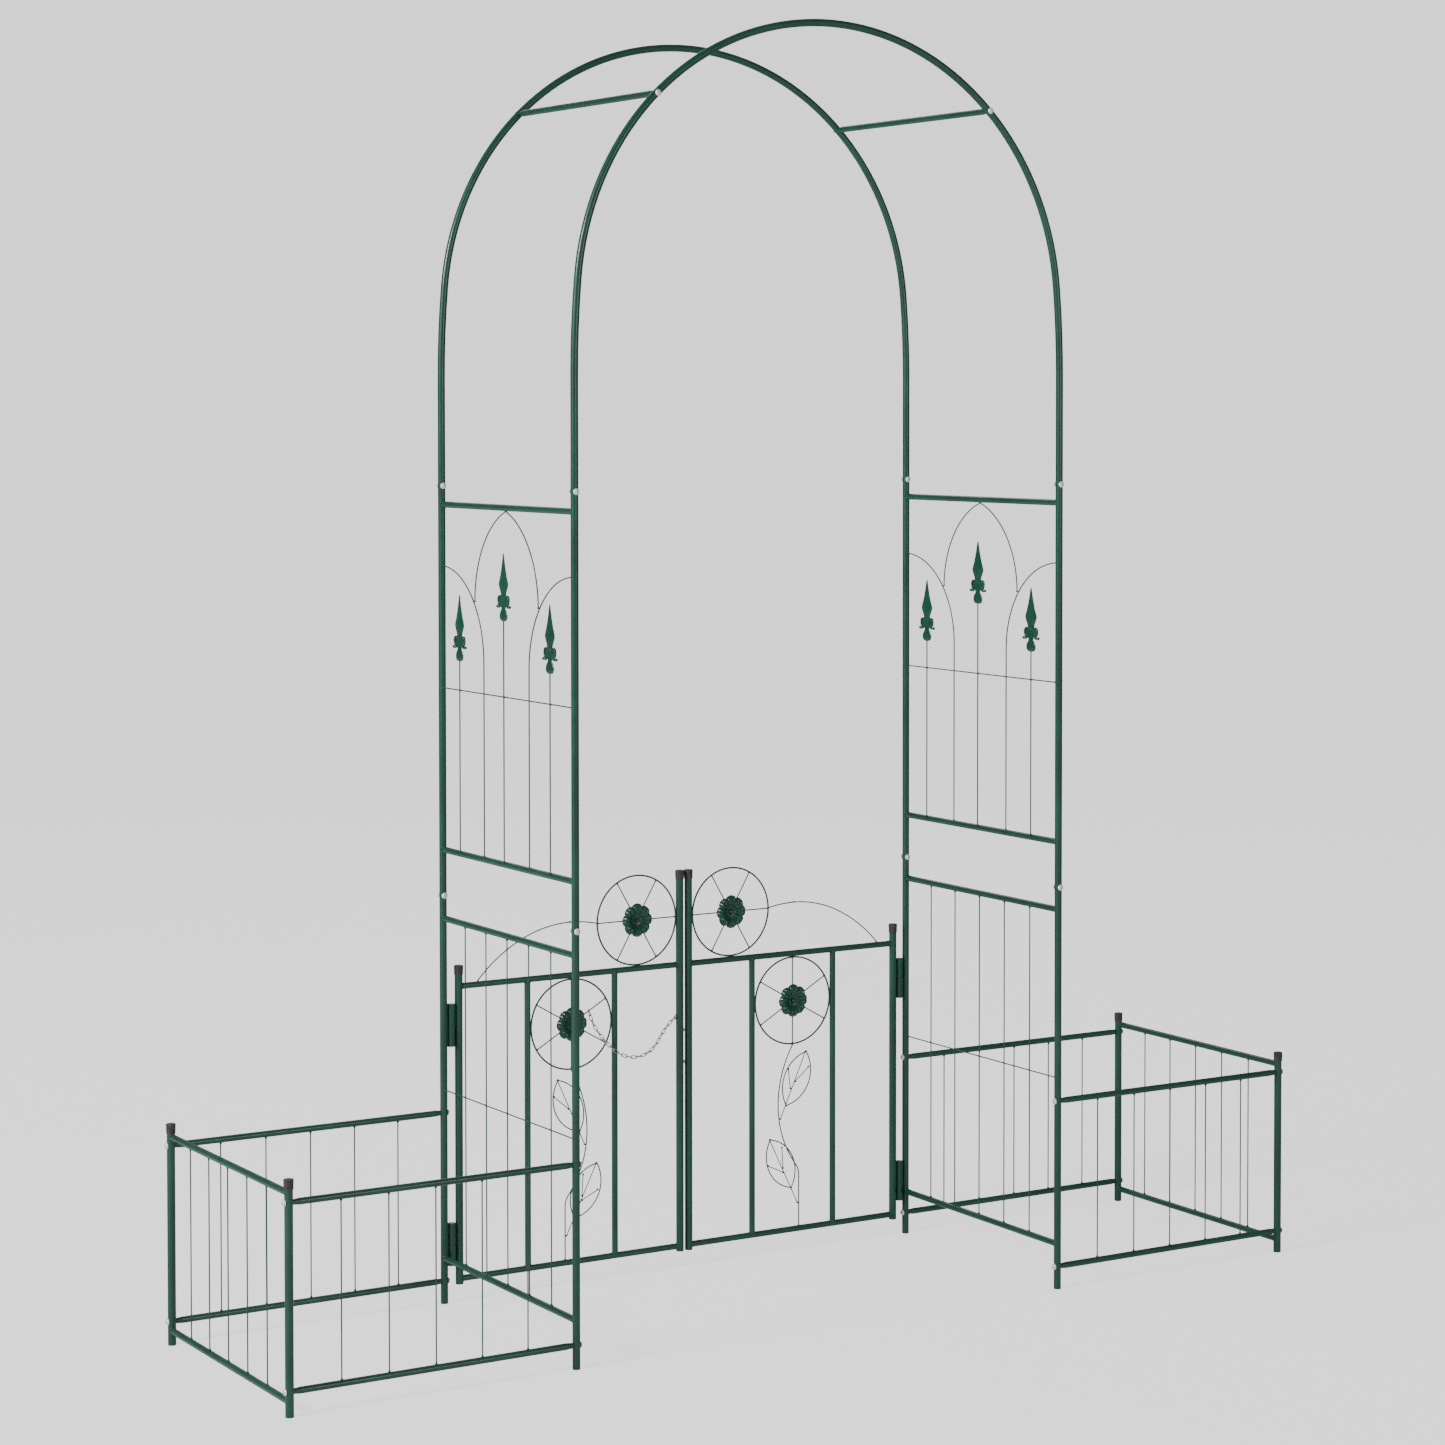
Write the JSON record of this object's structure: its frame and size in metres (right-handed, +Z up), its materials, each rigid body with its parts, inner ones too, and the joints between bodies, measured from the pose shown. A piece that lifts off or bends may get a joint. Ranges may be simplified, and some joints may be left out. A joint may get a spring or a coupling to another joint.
{
  "type": "garden arch with gate",
  "caption": "Steel tube garden arch with trellis side panels, a double gate with flower motifs and a planter frame on each side.",
  "frame": {"origin": "on the ground, in the middle of the four legs", "axes": "+X across the opening to the right, +Y through the arch from the front hoop to the gate in the rear hoop, +Z up"},
  "size_m": [2.1608, 0.5499, 2.3999],
  "materials": {
    "green_paint": "dark green powder coat, satin",
    "zinc": "bright zinc plate",
    "cap_plastic": "matte dark grey"
  },
  "bodies": {
    "frame": {"lower_leg_left_front": "green_paint", "upper_leg_left_front": "green_paint", "lower_leg_left_rear": "green_paint", "upper_leg_left_rear": "green_paint", "lower_leg_right_front": "green_paint", "upper_leg_right_front": "green_paint", "lower_leg_right_rear": "green_paint", "upper_leg_right_rear": "green_paint", "front_shoulders": "green_paint", "front_crown": "green_paint", "rear_shoulders": "green_paint", "rear_crown": "green_paint", "crossbars": "green_paint", "tie_rods": "green_paint", "lower_uprights": "green_paint", "left_panel_rails": "green_paint", "left_spear_rods": "green_paint", "left_spearheads": "green_paint", "left_panel_arches": "green_paint", "left_planter_posts": "green_paint", "left_planter_side_rails": "green_paint", "left_planter_end_rails": "green_paint", "left_planter_uprights": "green_paint", "right_panel_rails": "green_paint", "right_spear_rods": "green_paint", "right_spearheads": "green_paint", "right_panel_arches": "green_paint", "right_planter_posts": "green_paint", "right_planter_side_rails": "green_paint", "right_planter_end_rails": "green_paint", "right_planter_uprights": "green_paint", "planter_caps": "cap_plastic", "leg_bolts": "zinc", "leg_nuts": "zinc", "frame_screws": "zinc", "hinge_leg_barrels": "green_paint", "hinge_pins": "zinc"},
    "left_leaf": {"left_hinge_post": "green_paint", "left_meeting_post": "green_paint", "left_gate_rails": "green_paint", "left_gate_bars": "green_paint", "left_gate_barrels": "green_paint", "left_gate_caps": "cap_plastic", "left_flower_wheels": "green_paint", "left_rosettes": "green_paint", "left_vine": "green_paint", "left_scroll": "green_paint", "left_staples": "green_paint", "latch_chain": "zinc"},
    "right_leaf": {"right_hinge_post": "green_paint", "right_meeting_post": "green_paint", "right_gate_rails": "green_paint", "right_gate_bars": "green_paint", "right_gate_barrels": "green_paint", "right_gate_caps": "cap_plastic", "right_flower_wheels": "green_paint", "right_rosettes": "green_paint", "right_vine": "green_paint", "right_scroll": "green_paint", "right_staple": "green_paint"}
  },
  "joints": [
    {"name": "left_leaf_hinge", "type": "hinge", "parent": "frame", "child": "left_leaf", "pos_m": [-0.50765, 0.2635, 0.1105], "axis": [0, 0, 1], "range_deg": [-90, 110]},
    {"name": "right_leaf_hinge", "type": "hinge", "parent": "frame", "child": "right_leaf", "pos_m": [0.50765, 0.2635, 0.1105], "axis": [0, 0, -1], "range_deg": [-90, 110]}
  ]
}
